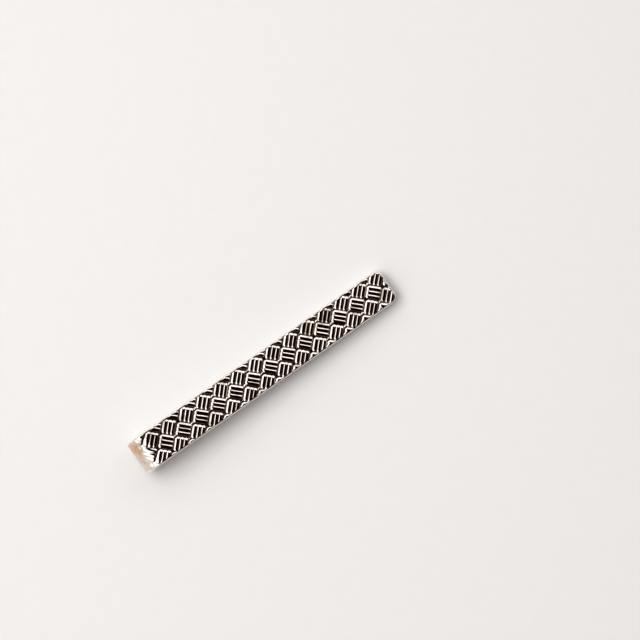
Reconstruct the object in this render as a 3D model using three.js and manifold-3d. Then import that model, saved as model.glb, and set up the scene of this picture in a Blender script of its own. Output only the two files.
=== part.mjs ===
// Money clip: one strip of silver, stamped with a diagonal basket weave and bent
// once into a narrow U whose two arms pinch folded notes between them.
//
// Millimetres, +Z up. The clip lies on its back arm: the bend is at -X, the tips are
// at +X, and the origin is under the middle of the clip, on the surface it lies on.
//
// The strip is springy all round its bend. It is divided there, at the middles of the
// bend's two quarter turns, into three bodies that turn a few degrees on each other.
import * as THREE from "three";
import { mergeVertices } from "three/addons/utils/BufferGeometryUtils.js";
import Module from "manifold-3d";

const wasm = await Module();
wasm.setup();

const degree = Math.PI / 180;

// The strip and its bend
const clipLength = 54;
const stripWidth = 6.35;
const stripThickness = 1.3; // from the smooth inner face to the crowns of the bars
const outerBendRadius = 3.6;
const tipGap = 0.3; // between the two tips of an empty clip
const tipCornerRadius = 1.3;
const divisionGap = 0.12; // between the bodies, along the middle of the strip
const bendFacets = 24;

// The basket weave: square cells at 45 degrees to the strip, with three raised bars
// in each, lengthwise and crosswise in turn. The stamp sat a little askew.
const cellSide = 2.645;
const barsPerCell = 3;
const barPitch = 0.733; // between the crowns of neighbouring bars
const weaveSkew = 0.85 * degree;
const weaveOffset = { u: 1.26, v: 0.64 }; // in cells, at the middle of the front tip
const barHeight = 0.18;
const barRoot = 0.1; // how deep a bar's foot is sunk into the strip
const barFoot = { length: 2.62, width: 0.78 };
const barCrown = { length: 2.24, width: 0.42 };
const barStepsOnBend = 4;

// Worked out from the sizes above
const innerBendRadius = outerBendRadius - stripThickness;
const baseThickness = stripThickness - barHeight;
const neutralRadius = innerBendRadius + baseThickness / 2;
const bendCentre = { x: outerBendRadius - clipLength / 2, z: outerBendRadius };
const backArmLength = clipLength / 2 - bendCentre.x;
const armSlope = slopeOfFrontArm();
const frontArmLength = (backArmLength - outerBendRadius * Math.sin(armSlope)) / Math.cos(armSlope);
const bendLength = neutralRadius * (Math.PI + armSlope);
const frontDivision = -neutralRadius * (Math.PI / 4 + armSlope);
const backDivision = -neutralRadius * (3 * Math.PI / 4 + armSlope);

// The front arm leans in until the tips are tipGap apart; the slope settles in a few turns.
function slopeOfFrontArm() {
  let slope = 0;
  for (let turn = 0; turn < 20; turn += 1) {
    const drop = outerBendRadius + innerBendRadius * Math.cos(slope) - stripThickness - tipGap;
    slope = Math.atan(drop / (backArmLength - outerBendRadius * Math.sin(slope)));
  }
  return slope;
}

// Takes a place on the strip to a point in space. s runs along the middle of the
// metal: 0 where the front arm leaves the bend, frontArmLength at its tip, and
// negative round the bend and down the back arm. h is the height above the inner face.
function onStrip(s, y, h) {
  const turned = THREE.MathUtils.clamp(-s, 0, bendLength);
  const along = s + turned;
  const angle = Math.PI / 2 - armSlope + turned / neutralRadius;
  const radius = innerBendRadius + h;
  return new THREE.Vector3(
    bendCentre.x + radius * Math.cos(angle) + along * Math.sin(angle),
    y,
    bendCentre.z + radius * Math.sin(angle) - along * Math.cos(angle),
  );
}

// Turns a closed geometry into a solid that can be joined and cut.
function solidOf(geometry) {
  geometry.deleteAttribute("normal");
  geometry.deleteAttribute("uv");
  const merged = mergeVertices(geometry, 1e-5);
  return new wasm.Manifold(new wasm.Mesh({
    numProp: 3,
    vertProperties: new Float32Array(merged.attributes.position.array),
    triVerts: new Uint32Array(merged.index.array),
  }));
}

function geometryOf(solid) {
  const { vertProperties, triVerts } = solid.getMesh();
  const geometry = new THREE.BufferGeometry();
  geometry.setAttribute("position", new THREE.BufferAttribute(vertProperties, 3));
  geometry.setIndex(new THREE.BufferAttribute(triVerts, 1));
  geometry.computeVertexNormals();
  return geometry;
}

// The side view of a stretch of the strip, between two heights, drawn out to a width.
function stretch(from, to, low, high, width) {
  const stations = [from];
  for (let facet = 0; facet <= bendFacets; facet += 1) {
    const s = bendLength * (facet / bendFacets - 1);
    if (s > from && s < to) stations.push(s);
  }
  stations.push(to);
  const outline = [
    ...stations.map((s) => onStrip(s, 0, high)),
    ...stations.reverse().map((s) => onStrip(s, 0, low)),
  ].map((point) => new THREE.Vector2(point.x, point.z));
  const geometry = new THREE.ExtrudeGeometry(new THREE.Shape(outline), {
    depth: width,
    bevelEnabled: false,
  });
  return solidOf(geometry.rotateX(Math.PI / 2).translate(0, width / 2, 0));
}

// The plan of an arm, seen square on: straight sides and a tip with rounded corners.
function planOfArm(length, slope) {
  const side = stripWidth / 2;
  const corner = tipCornerRadius;
  const behindBend = -2 * outerBendRadius;
  const tall = 4 * outerBendRadius;
  const plan = new THREE.Shape();
  plan.moveTo(behindBend, -side);
  plan.lineTo(length - corner, -side);
  plan.absarc(length - corner, corner - side, corner, -Math.PI / 2, 0);
  plan.absarc(length - corner, side - corner, corner, 0, Math.PI / 2);
  plan.lineTo(behindBend, side);
  const geometry = new THREE.ExtrudeGeometry(plan, {
    depth: 2 * tall,
    bevelEnabled: false,
    curveSegments: 6,
  });
  geometry.translate(0, 0, -tall).rotateY(slope).translate(bendCentre.x, 0, bendCentre.z);
  return solidOf(geometry);
}

// A raised bar, lying flat along X: its foot is wider and longer than its crown.
function flatBar(steps) {
  const bar = new THREE.BoxGeometry(
    barFoot.length, barFoot.width, barRoot + barHeight, steps, 1, 1,
  );
  const place = bar.attributes.position;
  for (let i = 0; i < place.count; i += 1) {
    if (place.getZ(i) > 0) {
      place.setX(i, place.getX(i) * barCrown.length / barFoot.length);
      place.setY(i, place.getY(i) * barCrown.width / barFoot.width);
    }
  }
  return bar.translate(0, 0, stripThickness - (barRoot + barHeight) / 2);
}

// Lays a flat bar on the strip, at a middle and a heading in the unrolled pattern.
function barOnStrip(middle, heading) {
  const halfDiagonal = (barFoot.length + barFoot.width) * Math.SQRT1_2 / 2;
  const nearBend = middle.x - halfDiagonal < 0 && middle.x + halfDiagonal > -bendLength;
  const bar = flatBar(nearBend ? barStepsOnBend : 1).rotateZ(heading);
  const place = bar.attributes.position;
  for (let i = 0; i < place.count; i += 1) {
    const s = middle.x + place.getX(i);
    const point = onStrip(s, middle.y + place.getY(i), place.getZ(i));
    place.setXYZ(i, point.x, point.y, point.z);
  }
  return solidOf(bar);
}

// All the bars whose crowns reach onto a stretch of the strip, but for slivers at its sides.
function barsBetween(from, to) {
  const heading = Math.PI / 4 + weaveSkew;
  const reach = (barCrown.length + barCrown.width) * Math.SQRT1_2 / 2;
  const sliver = 0.1;
  const tip = new THREE.Vector2(frontArmLength, 0);
  const cells = Math.ceil((frontArmLength + bendLength + backArmLength) / cellSide);
  const bars = [];
  for (let row = -cells; row <= cells; row += 1) {
    for (let column = -cells; column <= cells; column += 1) {
      const crosswise = (row + column) % 2 !== 0;
      for (let n = 0; n < barsPerCell; n += 1) {
        const across = 0.5 + (n - (barsPerCell - 1) / 2) * barPitch / cellSide;
        const middle = new THREE.Vector2(
          column + (crosswise ? across : 0.5) - weaveOffset.u,
          row + (crosswise ? 0.5 : across) - weaveOffset.v,
        ).multiplyScalar(cellSide).rotateAround(new THREE.Vector2(), heading).add(tip);
        const onWidth = Math.abs(middle.y) < stripWidth / 2 + reach - sliver;
        if (onWidth && middle.x > from - reach && middle.x < to + reach) {
          bars.push(barOnStrip(middle, heading + (crosswise ? Math.PI / 2 : 0)));
        }
      }
    }
  }
  return bars;
}

// One body of the strip: the base and its bars, made oversize and cut to their outline.
function body(name, from, to, plan) {
  const spare = 1;
  const base = stretch(from - spare, to + spare, 0, baseThickness, stripWidth + spare);
  const woven = wasm.Manifold.union([base, ...barsBetween(from, to)]);
  const limits = stretch(from, to, -spare, stripThickness + spare, stripWidth + 2 * spare);
  const silver = new THREE.MeshStandardMaterial({
    color: 0xcfccc8,
    roughness: 0.22,
    metalness: 1,
  });
  const mesh = new THREE.Mesh(geometryOf(woven.intersect(limits).intersect(plan)), silver);
  mesh.name = name;
  return mesh;
}

const backPlan = planOfArm(backArmLength, 0);
const frontPlan = planOfArm(frontArmLength, armSlope);
const beyondTip = 2;
const halfGap = divisionGap / 2;

const moneyClip = new THREE.Group();
moneyClip.name = "money_clip";
moneyClip.add(
  body("back_arm", -bendLength - backArmLength - beyondTip, backDivision - halfGap, backPlan),
  body("spring_bend", backDivision + halfGap, frontDivision - halfGap, backPlan),
  body("front_arm", frontDivision + halfGap, frontArmLength + beyondTip, frontPlan),
);

export default moneyClip;
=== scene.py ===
"""Looks of the money clip: one polished silver strip, stamped with a diagonal basket weave
and bent into a U. Lengths are millimetres until a mesh is made, which is in metres.

The strip is modelled unrolled, as a place s along it, a place y across it and a height h
above its smooth inner face, and on_strip() takes those to space. s is 0 where the front
arm leaves the bend, FRONT_LENGTH at its tip, and negative round the bend and down the
back arm."""
import math

import bpy
import numpy as np
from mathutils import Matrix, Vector


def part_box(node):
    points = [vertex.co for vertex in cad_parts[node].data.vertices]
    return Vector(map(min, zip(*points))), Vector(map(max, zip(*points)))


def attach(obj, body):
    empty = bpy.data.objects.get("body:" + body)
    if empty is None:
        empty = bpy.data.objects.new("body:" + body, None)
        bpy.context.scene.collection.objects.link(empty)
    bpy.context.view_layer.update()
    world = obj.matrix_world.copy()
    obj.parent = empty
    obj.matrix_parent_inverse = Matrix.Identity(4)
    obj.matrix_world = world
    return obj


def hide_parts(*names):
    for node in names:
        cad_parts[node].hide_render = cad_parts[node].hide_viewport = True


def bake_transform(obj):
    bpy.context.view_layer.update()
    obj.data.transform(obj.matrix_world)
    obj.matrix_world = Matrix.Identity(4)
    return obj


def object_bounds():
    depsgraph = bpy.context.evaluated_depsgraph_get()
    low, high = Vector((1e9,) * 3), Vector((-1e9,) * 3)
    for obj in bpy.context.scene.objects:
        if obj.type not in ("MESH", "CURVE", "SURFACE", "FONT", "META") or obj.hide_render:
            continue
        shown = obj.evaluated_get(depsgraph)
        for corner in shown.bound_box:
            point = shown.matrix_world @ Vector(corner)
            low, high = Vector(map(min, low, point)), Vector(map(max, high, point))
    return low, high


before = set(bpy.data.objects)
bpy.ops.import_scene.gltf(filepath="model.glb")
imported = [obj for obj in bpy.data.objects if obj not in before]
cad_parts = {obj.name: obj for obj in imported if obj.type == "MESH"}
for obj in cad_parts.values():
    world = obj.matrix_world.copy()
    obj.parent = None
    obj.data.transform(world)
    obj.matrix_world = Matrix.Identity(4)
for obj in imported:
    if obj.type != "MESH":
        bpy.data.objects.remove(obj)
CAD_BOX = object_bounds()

MM = 0.001

# ---------------------------------------------------------------- sizes, from the frame
LOW, HIGH = (np.array(corner) / MM for corner in CAD_BOX)
LENGTH, WIDTH, HEIGHT = HIGH - LOW
TIP_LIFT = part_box("front_arm")[0][2] / MM  # of the front tip's inner edge

THICKNESS = 1.3
BASE = 1.12  # of that thickness, under the bars of the CAD part
RELIEF = 0.2  # of that thickness, from the lowest grooves to the bars' crowns
TIP_CORNER = 1.3  # radius in plan
EDGE = 0.28  # radius of the rounded edges

OUTER_RADIUS = HEIGHT / 2
INNER_RADIUS = OUTER_RADIUS - THICKNESS
NEUTRAL_RADIUS = INNER_RADIUS + BASE / 2
CENTRE_X = LOW[0] + OUTER_RADIUS
CENTRE_Z = OUTER_RADIUS
BACK_LENGTH = HIGH[0] - CENTRE_X


def slope_of_front_arm():
    """The front arm leans in until its tip is at TIP_LIFT; the angle settles in a few turns."""
    slope = 0.0
    for _ in range(20):
        drop = OUTER_RADIUS + INNER_RADIUS * math.cos(slope) - TIP_LIFT
        slope = math.atan(drop / (BACK_LENGTH - OUTER_RADIUS * math.sin(slope)))
    return slope


SLOPE = slope_of_front_arm()
FRONT_LENGTH = (BACK_LENGTH - OUTER_RADIUS * math.sin(SLOPE)) / math.cos(SLOPE)
BEND_LENGTH = NEUTRAL_RADIUS * (math.pi + SLOPE)
APEX = -NEUTRAL_RADIUS * (math.pi / 2 + SLOPE)
BACK_TIP = -BEND_LENGTH - BACK_LENGTH

# The basket weave, in the places that the CAD bars have
CELL = 2.645
WEAVE_ANGLE = math.radians(45.85)
WEAVE_U, WEAVE_V = 1.26, 0.64  # in cells, at the middle of the front tip
OVERREACH = 0.033  # of a cell, by which bars reach past the lattice's lines at both ends
BARS_PER_CELL = 3
BAR_PITCH = 0.733  # between the crests of neighbouring bars


def on_strip(s, y, h):
    """Places on the strip to points in space."""
    turned = np.clip(-s, 0, BEND_LENGTH)
    along = s + turned
    angle = math.pi / 2 - SLOPE + turned / NEUTRAL_RADIUS
    radius = INNER_RADIUS + h
    x = CENTRE_X + radius * np.cos(angle) + along * np.sin(angle)
    z = CENTRE_Z + radius * np.sin(angle) - along * np.cos(angle)
    return np.stack([x, y + 0 * x, z], axis=-1)


# ---------------------------------------------------------------- the stamped relief
def smooth_step(low, high, value):
    t = np.clip((value - low) / (high - low), 0, 1)
    return t * t * (3 - 2 * t)


def soft_min(a, b, blend):
    """The smaller of two distances, rounded where they meet."""
    t = np.clip(0.5 + 0.5 * (b - a) / blend, 0, 1)
    return b + (a - b) * t - blend * t * (1 - t)


def per_cell(rng_seed, column, row):
    """A random number from 0 to 1 for each cell of the weave."""
    columns, rows = 97, 89  # about the number of bars, so that few values come twice
    table = np.random.default_rng(rng_seed).random((columns, rows))
    return table[np.mod(column, columns), np.mod(row, rows)]


def wander(s, y, scale, seed):
    """Smooth noise from -1 to 1: a few waves with random headings."""
    rng = np.random.default_rng(seed)
    total = np.zeros(np.broadcast(s, y).shape)
    waves = 7
    for _ in range(waves):
        heading, phase = rng.uniform(0, 2 * math.pi, 2)
        stretch = rng.uniform(0.6, 1.6) * 2 * math.pi / scale
        total += np.sin(stretch * (s * math.cos(heading) + y * math.sin(heading)) + phase)
    return total / waves


def rounded_fall(distance, radius, steepest):
    """How far a rounded crest has fallen at a distance: an arc, then a straight flank."""
    steepest = np.radians(steepest)
    on_arc = np.minimum(distance, radius * np.sin(steepest))
    arc_fall = radius - np.sqrt(radius**2 - on_arc**2)
    return arc_fall + (distance - on_arc) * np.tan(steepest)


def on_lattice(s, y):
    """A place on the strip in the weave's own directions, counted in cells."""
    x = s - FRONT_LENGTH
    cos, sin = math.cos(WEAVE_ANGLE), math.sin(WEAVE_ANGLE)
    u = (x * cos + y * sin) / CELL + WEAVE_U
    v = (-x * sin + y * cos) / CELL + WEAVE_V
    return u, v


def weave_cell(u, v):
    """The cell of the weave at each place: whether its bars are crosswise, its column and
    row, and the distances along and across its bars from its middle."""
    column, row = np.floor(u).astype(int), np.floor(v).astype(int)
    crosswise = np.mod(column + row, 2) == 1
    beside = np.where(crosswise, u - column, v - row)
    reached_by = (beside > 1 - OVERREACH).astype(int) - (beside < OVERREACH).astype(int)
    column = column + np.where(crosswise, reached_by, 0)
    row = row + np.where(crosswise, 0, reached_by)
    crosswise = crosswise ^ (reached_by != 0)
    across = (np.where(crosswise, u - column, v - row) - 0.5) * CELL
    along = (np.where(crosswise, v - row, u - column) - 0.5) * CELL
    return crosswise, column, row, along, across


def domes(u, v):
    """The low domes of metal left where four cells meet, no two alike."""
    astray = 0.06  # of a cell, at most half of it to either side
    lowest, spread, radius = 0.05, 0.10, 0.26
    column, row = np.round(u).astype(int), np.round(v).astype(int)
    off_u = astray * (per_cell(42, column, row) - 0.5)
    off_v = astray * (per_cell(43, column, row) - 0.5)
    away = np.hypot(u - column - off_u, v - row - off_v) * CELL
    height = lowest + spread * per_cell(41, column, row)
    return height * np.exp(-((away / radius) ** 2))


def strayed(s, y):
    """Places on the strip, led a little astray in long waves and in short ones."""
    long_wave, long_shift = 6.0, 0.05
    short_wave, short_shift = 1.1, 0.016
    return (
        s + long_shift * wander(s, y, long_wave, 11) + short_shift * wander(s, y, short_wave, 13),
        y + long_shift * wander(s, y, long_wave, 12) + short_shift * wander(s, y, short_wave, 14),
    )


def beside_bars(column, row, along, across, half_length):
    """How far the surface has fallen to the side of the nearest of a cell's bars, and how
    much lower that bar is than a full crest. A worn bar is lower, with a blunter crest."""
    most_sway, lost_when_worn = 0.09, 0.02
    crest_radius, more_when_worn = 0.55, 0.2
    last_bar = BARS_PER_CELL // 2
    bar = np.clip(np.round(across / BAR_PITCH), -last_bar, last_bar)
    bar_column = column * BARS_PER_CELL + bar.astype(int)
    sway = per_cell(31, bar_column, row) - 0.5
    worn = per_cell(32, bar_column, row)
    past_crest = np.abs(across - bar * BAR_PITCH - most_sway * sway)
    flank = flank_steepness(column, row, across)
    side_fall = rounded_fall(past_crest, crest_radius + more_when_worn * worn, flank)
    open_share = 1 - closed_grooves(bar, along, across, half_length)
    return side_fall * open_share, lost_when_worn * worn


def flank_steepness(column, row, across):
    """In degrees. The flank outside the first bar of a cell differs from cell to cell."""
    gentlest, more, elsewhere = 18, 16, 28
    low_side = across < -BAR_PITCH
    return np.where(low_side, gentlest + more * per_cell(33, column, row), elsewhere)


def closed_grooves(bar, along, across, half_length):
    """How far the grooves between bars are filled: not at all, then in part at one end."""
    most_filled, start, full = 0.6, 0.75, 0.15  # the last two are distances from the end
    between_bars = bar * across < BAR_PITCH
    near_end = smooth_step(half_length - start, half_length - full, along)
    return most_filled * near_end * between_bars


def past_ends(crosswise, along, half_length):
    """How far the surface has fallen past the upper and the lower ends of the bars."""
    upper_length = np.where(crosswise, 0.55, 0.64)
    upper_radius, upper_steepness = 0.65, 24
    lower_length, lower_radius, lower_steepness = 0.48, 0.5, 29
    crown_end = half_length - upper_length
    upper = rounded_fall(np.maximum(along - crown_end, 0), upper_radius, upper_steepness)
    into_lower = np.maximum(lower_length - along - half_length, 0)
    return upper, rounded_fall(into_lower, lower_radius, lower_steepness)


def weave(s, y):
    """The relief at places on the strip: 0 in the lowest grooves, 1 on a full crest."""
    faintest_blow, more, blend = 0.95, 0.05, 0.03
    u, v = on_lattice(*strayed(s, y))
    crosswise, column, row, along, across = weave_cell(u, v)
    half_length = CELL * (0.5 + OVERREACH)
    side_fall, bar_fall = beside_bars(column, row, along, across, half_length)
    upper_fall, lower_fall = past_ends(crosswise, along, half_length)
    fall = side_fall + upper_fall + lower_fall + bar_fall
    fall = soft_min(fall, RELIEF - domes(u, v), blend)
    struck = faintest_blow + more * per_cell(21, column, row)
    return struck * (1 - fall / RELIEF)


# ---------------------------------------------------------------- the strip's surface
def from_tip(s):
    """Distance along the arm to the nearer tip."""
    return np.minimum(FRONT_LENGTH - s, s - BACK_TIP)


def half_width(s):
    """Half the strip's width: WIDTH / 2, less where a tip's corners are rounded."""
    into_corner = np.clip(TIP_CORNER - from_tip(s), 0, TIP_CORNER)
    return WIDTH / 2 - TIP_CORNER + np.sqrt(TIP_CORNER**2 - into_corner**2)


def from_edge(s, y):
    """Distance in from the strip's outline, seen square on."""
    to_tip, to_side = from_tip(s), WIDTH / 2 - np.abs(y)
    corner = TIP_CORNER - np.hypot(
        np.clip(TIP_CORNER - to_tip, 0, None), np.clip(TIP_CORNER - to_side, 0, None)
    )
    inside = (to_tip < TIP_CORNER) & (to_side < TIP_CORNER)
    return np.clip(np.where(inside, corner, np.minimum(to_tip, to_side)), 0, None)


def edge_drop(distance):
    """How far the face has fallen at a distance from the outline: a rounded edge."""
    inward = EDGE - np.clip(distance, 0, EDGE)
    return EDGE - np.sqrt(EDGE**2 - inward**2)


def on_bend(s):
    """1 round the middle of the bend, fading to 0 on the arms."""
    reach = 0.46 * BEND_LENGTH
    return np.exp(-(((s - APEX) / reach) ** 4))


def outer_height(s, y):
    """Height of the patterned face: the relief, pressed flat along the edges and stretched
    shallower round the bend."""
    edge = from_edge(s, y)
    rim, rim_width, weave_from = 0.62, 0.16, 0.38  # a share of the relief, and two distances
    lost_on_bend = 0.5
    pressed = smooth_step(rim_width, weave_from, edge) * (1 - lost_on_bend * on_bend(s))
    level = rim + (weave(s, y) - rim) * pressed
    return THICKNESS - RELIEF + RELIEF * level - edge_drop(edge)


def inner_height(s, y):
    return edge_drop(from_edge(s, y))


def edge_steps():
    """Distances in from an outline that follow its rounded edge."""
    steps = 7
    return EDGE * (1 - np.cos(np.linspace(0, math.pi / 2, steps)))


def tip_steps():
    """Distances from a tip that follow its rounded edge and its corners."""
    steps = 19
    corner = TIP_CORNER * (1 - np.sin(np.linspace(math.pi / 2, 0, steps)))
    return np.unique(np.round(np.concatenate([edge_steps(), corner]), 2))


def stations(first, last, step):
    """Places along a stretch of the strip, closer together at a tip."""
    tips = tip_steps()
    starts, ends = first == BACK_TIP, last == FRONT_LENGTH
    low = first + (tips[-1] if starts else 0)
    high = last - (tips[-1] if ends else 0)
    even = np.linspace(low, high, int(round((high - low) / step)) + 1)
    before = first + tips[:-1] if starts else []
    after = last - tips[-2::-1] if ends else []
    return np.concatenate([before, even, after])


def across_face(half, count):
    """Places across a face, close together over its rounded edges."""
    edge = edge_steps()
    left = -half + edge[:, None]
    inner = half - EDGE
    middle = inner * np.linspace(-1, 1, count + 2)[1:-1][:, None]
    return np.concatenate([left, middle, -left[::-1]]).T


def ring_of_points(s, fine, coarse):
    """The strip's cross-sections at stations s, each a closed ring of points: over the
    patterned face, down one side, back over the smooth face and up the other side."""
    half = half_width(s)
    column = s[:, None]
    outer_y = across_face(half, fine)
    inner_y = across_face(half, coarse)[:, ::-1]
    outer_h = outer_height(column, outer_y)
    inner_h = inner_height(column, inner_y)
    share = np.array([0.25, 0.5, 0.75])
    down_h = outer_h[:, -1:] + (inner_h[:, :1] - outer_h[:, -1:]) * share
    up_h = inner_h[:, -1:] + (outer_h[:, :1] - inner_h[:, -1:]) * share
    side = np.repeat(half[:, None], len(share), axis=1)
    y = np.concatenate([outer_y, side, inner_y, -side], axis=1)
    h = np.concatenate([outer_h, down_h, inner_h, up_h], axis=1)
    return column + 0 * y, y, h, outer_y.shape[1]


def surface_normals(points):
    """Outward normals of a grid of points: stations by places round the ring."""
    around = np.roll(points, -1, axis=1) - np.roll(points, 1, axis=1)
    along = np.gradient(points, axis=0)
    normals = np.cross(along, around)
    return normals / np.linalg.norm(normals, axis=-1, keepdims=True)


# ---------------------------------------------------------------- the pieces
def strip_faces(rows, ring):
    """The quads of a tube of cross-sections, and an end face at each end."""
    row, place = np.meshgrid(np.arange(rows - 1), np.arange(ring), indexing="ij")
    here, over = row * ring + place, row * ring + (place + 1) % ring
    quads = np.stack([here, here + ring, over + ring, over], axis=-1).reshape(-1, 4)
    first = list(range(ring))
    last = list(range(rows * ring - 1, (rows - 1) * ring - 1, -1))
    return quads.tolist() + [first, last]


def strip_piece(name, points, normals, shades, material):
    """One closed piece of the strip, with the whole strip's own normals, so that no seam
    shows where two pieces meet."""
    rows, ring = points.shape[:2]
    mesh = bpy.data.meshes.new(name)
    mesh.from_pydata((points.reshape(-1, 3) * MM).tolist(), [], strip_faces(rows, ring))
    mesh.shade_smooth()
    for shade, values in shades.items():
        attribute = mesh.attributes.new(shade, "FLOAT", "POINT")
        attribute.data.foreach_set("value", values.astype(np.float32).ravel())
    corner_vertex = np.empty(len(mesh.loops), np.int32)
    mesh.loops.foreach_get("vertex_index", corner_vertex)
    corner_normals = normals.reshape(-1, 3)[corner_vertex]
    for end in (mesh.polygons[-2], mesh.polygons[-1]):
        corners = slice(end.loop_start, end.loop_start + end.loop_total)
        corner_normals[corners] = end.normal
    mesh.normals_split_custom_set(corner_normals.tolist())
    mesh.materials.append(material)
    piece = bpy.data.objects.new(name, mesh)
    bpy.context.scene.collection.objects.link(piece)
    return piece


def whole_strip():
    """The cross-sections of the whole strip, with the row where each piece starts."""
    step, bend_step = 0.0755, 0.062
    stretches = [
        stations(BACK_TIP, -BEND_LENGTH, step),
        stations(-BEND_LENGTH, APEX, bend_step),
        stations(APEX, 0.0, bend_step),
        stations(0.0, FRONT_LENGTH, step),
    ]
    starts = np.cumsum([0] + [len(stretch) - 1 for stretch in stretches])
    s = np.concatenate([stretches[0]] + [stretch[1:] for stretch in stretches[1:]])
    return s, starts


def shades_for_material(s, y, h, outer_count):
    """Two shares that the silver's material takes at each point: "stamped" is 1 on the
    patterned face, in from its edges, and "groove" is 1 in the floors of its grooves."""
    outer = slice(0, outer_count)
    edge = from_edge(s[:, outer], y[:, outer])
    stamped, groove = np.zeros(s.shape), np.zeros(s.shape)
    stamped[:, outer] = smooth_step(0.1, 0.5, edge)
    depth = np.clip((THICKNESS - h[:, outer] - edge_drop(edge)) / RELIEF, 0, 1)
    groove[:, outer] = depth * stamped[:, outer]
    return {"stamped": stamped, "groove": groove}


def make_clip(material):
    s, starts = whole_strip()
    s, y, h, outer_count = ring_of_points(s, fine=76, coarse=10)
    points = on_strip(s, y, h)
    normals = surface_normals(points)
    shades = shades_for_material(s, y, h, outer_count)
    names = ["back_arm_strip", "bend_back_half", "bend_front_half", "front_arm_strip"]
    pieces = []
    for name, first, last in zip(names, starts[:-1], starts[1:]):
        rows = slice(first, last + 1)
        own = {shade: values[rows] for shade, values in shades.items()}
        pieces.append(strip_piece(name, points[rows], normals[rows], own, material))
    ride_on_bodies(*pieces)


def ride_on_bodies(back_arm, bend_back, bend_front, front_arm):
    """The arms ride on their bodies; the two halves of the bend are baked in place and ride on
    none.
    """
    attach(back_arm, "back_arm")
    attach(front_arm, "front_arm")
    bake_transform(bend_front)
    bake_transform(bend_back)
    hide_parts("back_arm")
    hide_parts("spring_bend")
    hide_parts("spring_bend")
    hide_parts("front_arm")


# ---------------------------------------------------------------- materials
def new_material(name):
    material = bpy.data.materials.new(name)
    material.use_nodes = True
    nodes = material.node_tree.nodes
    return material, nodes, material.node_tree.links, nodes["Principled BSDF"]


def noise(nodes, links, place, scale, detail=2.0, stretch=(1, 1, 1)):
    """Noise in the object's own millimetres, drawn out along its axes."""
    mapping = nodes.new("ShaderNodeMapping")
    mapping.inputs["Scale"].default_value = [side / MM for side in stretch]
    links.new(place, mapping.inputs["Vector"])
    texture = nodes.new("ShaderNodeTexNoise")
    texture.inputs["Scale"].default_value = scale
    texture.inputs["Detail"].default_value = detail
    links.new(mapping.outputs["Vector"], texture.inputs["Vector"])
    return texture.outputs["Fac"]


def map_range(nodes, links, value, source, target):
    """value, taken from the range source to the range target, and held inside it."""
    node = nodes.new("ShaderNodeMapRange")
    links.new(value, node.inputs["Value"])
    node.inputs["From Min"].default_value, node.inputs["From Max"].default_value = source
    node.inputs["To Min"].default_value, node.inputs["To Max"].default_value = target
    return node.outputs["Result"]


def mix_colours(nodes, links, share, first, second):
    node = nodes.new("ShaderNodeMix")
    node.data_type = "RGBA"
    links.new(share, node.inputs["Factor"])
    for socket, colour in ((node.inputs["A"], first), (node.inputs["B"], second)):
        if isinstance(colour, tuple):
            socket.default_value = (*colour, 1)
        else:
            links.new(colour, socket)
    return node.outputs["Result"]


def maths(nodes, links, operation, first, second):
    node = nodes.new("ShaderNodeMath")
    node.operation = operation
    for socket, value in zip(node.inputs, (first, second)):
        if isinstance(value, (int, float)):
            socket.default_value = value
        else:
            links.new(value, socket)
    return node.outputs["Value"]


def shade_share(nodes, name):
    attribute = nodes.new("ShaderNodeAttribute")
    attribute.attribute_name = name
    return attribute.outputs["Fac"]


def painted_bend_reflection(nodes, links, place, silver, stamped, depth):
    """Silver, with a painted reflection over the outside of the bend: copper brown on one half,
    beige on the other, darker in the grooves and with a ragged outline."""
    axes = nodes.new("ShaderNodeSeparateXYZ")
    links.new(place, axes.inputs["Vector"])
    along_strip = 0.3  # of the raggedness across it
    ragged = noise(nodes, links, place, 0.45, 3.0)
    astray = map_range(nodes, links, ragged, (0.3, 0.7), (-1.6 * MM, 1.6 * MM))
    past_end = maths(nodes, links, "ADD", axes.outputs["X"],
                     maths(nodes, links, "MULTIPLY", astray, along_strip))
    sideways = maths(nodes, links, "ADD", axes.outputs["Y"], astray)
    bend_end, reach = LOW[0] * MM, 2.0 * MM
    fade = (bend_end + reach, bend_end + 0.5 * reach)
    outside = map_range(nodes, links, past_end, fade, (0, 0.85))
    half = map_range(nodes, links, sideways, (-0.7 * MM, 1.2 * MM), (0, 1))
    # painted reflection: a warm copper tint on one half of the bend's outside, beige on the other
    bend_reflection_tint = mix_colours(nodes, links, half, (0.80, 0.68, 0.56), (0.77, 0.43, 0.26))
    # painted shade: the painted reflection on the bend is darker in the grooves
    darker_in_grooves = map_range(nodes, links, depth, (0.25, 0.6), (0, 0.45))
    bend_reflection_tint = mix_colours(nodes, links, darker_in_grooves, bend_reflection_tint, (0.50, 0.44, 0.41))
    share = maths(nodes, links, "MULTIPLY", outside, stamped)
    return mix_colours(nodes, links, share, silver, bend_reflection_tint)


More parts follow.
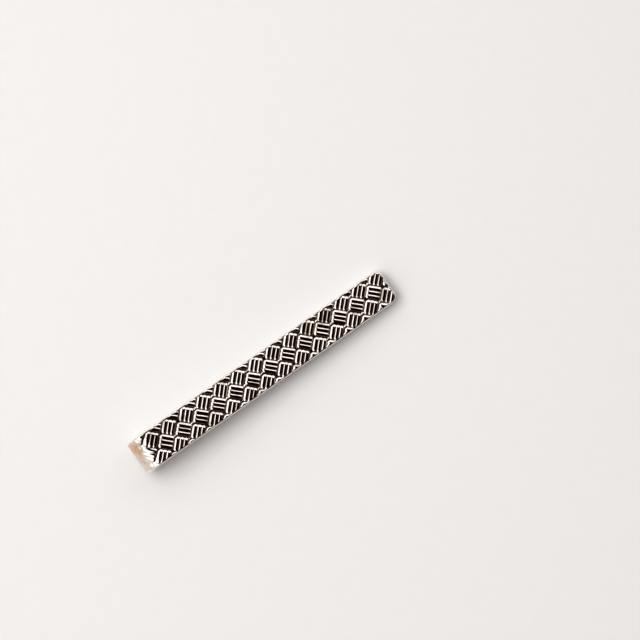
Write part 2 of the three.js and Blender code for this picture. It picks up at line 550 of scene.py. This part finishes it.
def polished_silver():
    """Silver with fine scratches, a little tarnish, and dark brown in the floors of the grooves:
    oxide, deepened as painted shade.
    """
    material, nodes, links, shader = new_material("polished_silver")
    place = nodes.new("ShaderNodeTexCoord").outputs["Object"]
    depth = shade_share(nodes, "groove")
    stamped = shade_share(nodes, "stamped")

    wash = noise(nodes, links, place, 0.5, 3.0)
    silver = mix_colours(nodes, links, map_range(nodes, links, wash, (0.4, 0.65), (0, 1)),
                         (0.93, 0.915, 0.89), (0.90, 0.85, 0.79))
    patches = noise(nodes, links, place, 0.33, 2.0)
    tarnish = map_range(nodes, links, patches, (0.57, 0.67), (0, 0.75))
    tarnish = maths(nodes, links, "MULTIPLY", tarnish, stamped)
    silver = mix_colours(nodes, links, tarnish, silver, (0.36, 0.35, 0.27))
    silver = painted_bend_reflection(nodes, links, place, silver, stamped, depth)
    # oxide and painted shade: the floors of the grooves are darkened toward brown
    oxide_and_painted_shade = map_range(nodes, links, depth, (0.7, 0.96), (0, 0.9))
    brown = map_range(nodes, links, wash, (0.45, 0.6), (0, 1))
    dark = mix_colours(nodes, links, brown, (0.10, 0.05, 0.045), (0.07, 0.06, 0.05))
    colour = mix_colours(nodes, links, oxide_and_painted_shade, silver, dark)
    links.new(colour, shader.inputs["Base Color"])

    cloud = noise(nodes, links, place, 1.6, 4.0)
    haze = map_range(nodes, links, cloud, (0.3, 0.7), (0.02, 0.05))
    dull = map_range(nodes, links, depth, (0.7, 0.96), (0, 0.2))
    links.new(maths(nodes, links, "ADD", haze, dull), shader.inputs["Roughness"])

    scratches = noise(nodes, links, place, 3.0, 6.0, stretch=(0.25, 6, 6))
    bump = nodes.new("ShaderNodeBump")
    bump.inputs["Strength"].default_value = 0.05
    bump.inputs["Distance"].default_value = 0.02 * MM
    links.new(scratches, bump.inputs["Height"])
    links.new(bump.outputs["Normal"], shader.inputs["Normal"])
    shader.inputs["Metallic"].default_value = 1.0
    return material


def pale_paper():
    """The floor: matt, pale grey, with a faint tooth."""
    material, nodes, links, shader = new_material("pale_floor")
    place = nodes.new("ShaderNodeTexCoord").outputs["Object"]
    tooth = noise(nodes, links, place, 0.4, 2.0)
    colour = mix_colours(nodes, links, tooth, (0.71, 0.71, 0.706), (0.73, 0.73, 0.726))
    links.new(colour, shader.inputs["Base Color"])
    shader.inputs["Roughness"].default_value = 0.9
    return material


# ---------------------------------------------------------------- studio
NEARLY_BLACK = (0.006, 0.0015, 0.001)
PALE_SCREEN = (0.55, 0.50, 0.475)


def make_floor():
    side = 12.0  # metres, to each side
    mesh = bpy.data.meshes.new("floor")
    corners = [(-side, -side, 0), (side, -side, 0), (side, side, 0), (-side, side, 0)]
    mesh.from_pydata(corners, [], [(0, 1, 2, 3)])
    mesh.materials.append(pale_paper())
    floor = bpy.data.objects.new("floor", mesh)
    bpy.context.scene.collection.objects.link(floor)


def ramp(nodes, links, value, stops):
    """A colour for each value, from (value, colour) stops."""
    node = nodes.new("ShaderNodeValToRGB")
    links.new(value, node.inputs["Fac"])
    elements = node.color_ramp.elements
    for element, (position, colour) in zip(elements, (stops[0], stops[-1])):
        element.position, element.color = position, (*colour, 1)
    for position, colour in stops[1:-1]:
        elements.new(position).color = (*colour, 1)
    return node.outputs["Color"]


def facing(nodes, links, direction, toward):
    """How nearly a direction points toward a unit vector: its cosine."""
    node = nodes.new("ShaderNodeVectorMath")
    node.operation = "DOT_PRODUCT"
    node.inputs[1].default_value = toward
    links.new(direction, node.inputs[0])
    return node.outputs["Value"]


def levelled(nodes, links, direction):
    """A direction without its rise: a unit vector along the ground."""
    flat = nodes.new("ShaderNodeVectorMath")
    flat.operation = "MULTIPLY"
    flat.inputs[1].default_value = (1, 1, 0)
    links.new(direction, flat.inputs[0])
    heading = nodes.new("ShaderNodeVectorMath")
    heading.operation = "NORMALIZE"
    links.new(flat.outputs["Vector"], heading.inputs[0])
    return heading.outputs["Vector"]


def window_and_wall(nodes, links, direction):
    """A wide window on one side, brighter higher up, and a dim wall on the other."""
    window_heading = math.radians(105)
    toward_window = (math.cos(window_heading), math.sin(window_heading), 0)
    side = facing(nodes, links, levelled(nodes, links, direction), toward_window)
    axes = nodes.new("ShaderNodeSeparateXYZ")
    links.new(direction, axes.inputs["Vector"])
    window = ramp(nodes, links, axes.outputs["Z"], [
        (0.0, (0.40, 0.37, 0.35)), (0.37, (0.50, 0.465, 0.445)), (0.54, (0.92, 0.875, 0.85)),
        (1.0, (0.96, 0.92, 0.895)),
    ])
    wall = ramp(nodes, links, axes.outputs["Z"], [
        (0.0, PALE_SCREEN), (0.39, (0.37, 0.33, 0.31)), (0.46, (0.05, 0.032, 0.026)),
        (0.54, (0.05, 0.030, 0.024)), (0.66, (0.075, 0.040, 0.033)),
        (0.8, (0.009, 0.003, 0.002)), (1.0, NEARLY_BLACK),
    ])
    share = map_range(nodes, links, side, (-0.33, -0.10), (0, 1))
    return mix_colours(nodes, links, share, wall, window)


def dark_ceiling(nodes, links, direction):
    """The share of each direction that a round dark ceiling takes up overhead."""
    middle = Vector((math.sin(math.radians(5.3)), math.sin(math.radians(10)), 0.97)).normalized()
    reach, soft_edge = math.radians(25), math.radians(2.5)
    overhead = facing(nodes, links, direction, middle)
    within = (math.cos(reach + soft_edge), math.cos(reach - soft_edge))
    return map_range(nodes, links, overhead, within, (0, 1))


def make_room_light():
    """The room that the silver mirrors: a window, a wall, a pale screen beside the bend and
    a dark ceiling."""
    world = bpy.data.worlds.new("studio")
    bpy.context.scene.world = world
    world.use_nodes = True
    nodes, links = world.node_tree.nodes, world.node_tree.links
    background = nodes["Background"]
    background.inputs["Strength"].default_value = 1.24

    direction = nodes.new("ShaderNodeTexCoord").outputs["Generated"]
    beside_bend = facing(nodes, links, direction, (-1, 0, 0))
    screen = map_range(nodes, links, beside_bend, (0.78, 0.90), (0, 1))
    room = window_and_wall(nodes, links, direction)
    room = mix_colours(nodes, links, screen, room, PALE_SCREEN)
    ceiling = dark_ceiling(nodes, links, direction)
    room = mix_colours(nodes, links, ceiling, room, NEARLY_BLACK)
    links.new(room, background.inputs["Color"])


def make_softbox():
    """A large soft light for the floor, that the silver does not mirror."""
    data = bpy.data.lights.new("softbox", "AREA")
    data.shape = "DISK"
    data.size = 0.5
    data.energy = 2.35
    softbox = bpy.data.objects.new("softbox", data)
    softbox.location = (-0.12, 0.16, 0.55)
    toward_clip = -softbox.location
    softbox.rotation_euler = toward_clip.to_track_quat("-Z", "Y").to_euler()
    softbox.visible_glossy = False
    softbox.visible_camera = False
    bpy.context.scene.collection.objects.link(softbox)


def make_camera():
    """Straight above, turned so that the clip runs from lower left to upper right."""
    lens, sensor = 200.0, 36.0
    clip_share = 0.4808  # of the picture's width, along the clip
    turn = math.radians(-34.9)
    aim = (13.47 * MM, 1.66 * MM)  # what the middle of the picture shows
    arm_height = 5.0
    data = bpy.data.cameras.new("camera")
    data.lens, data.sensor_width = lens, sensor
    distance = LENGTH / clip_share * lens / sensor
    data.clip_start, data.clip_end = 0.01, 10
    camera = bpy.data.objects.new("camera", data)
    camera.location = (*aim, (arm_height + distance) * MM)
    camera.rotation_euler = (0, 0, turn)
    bpy.context.scene.collection.objects.link(camera)
    bpy.context.scene.camera = camera


bpy.context.scene.view_settings.view_transform = "Standard"
bpy.context.scene.view_settings.look = "Medium High Contrast"
make_clip(polished_silver())
make_floor()
make_room_light()
make_softbox()
make_camera()
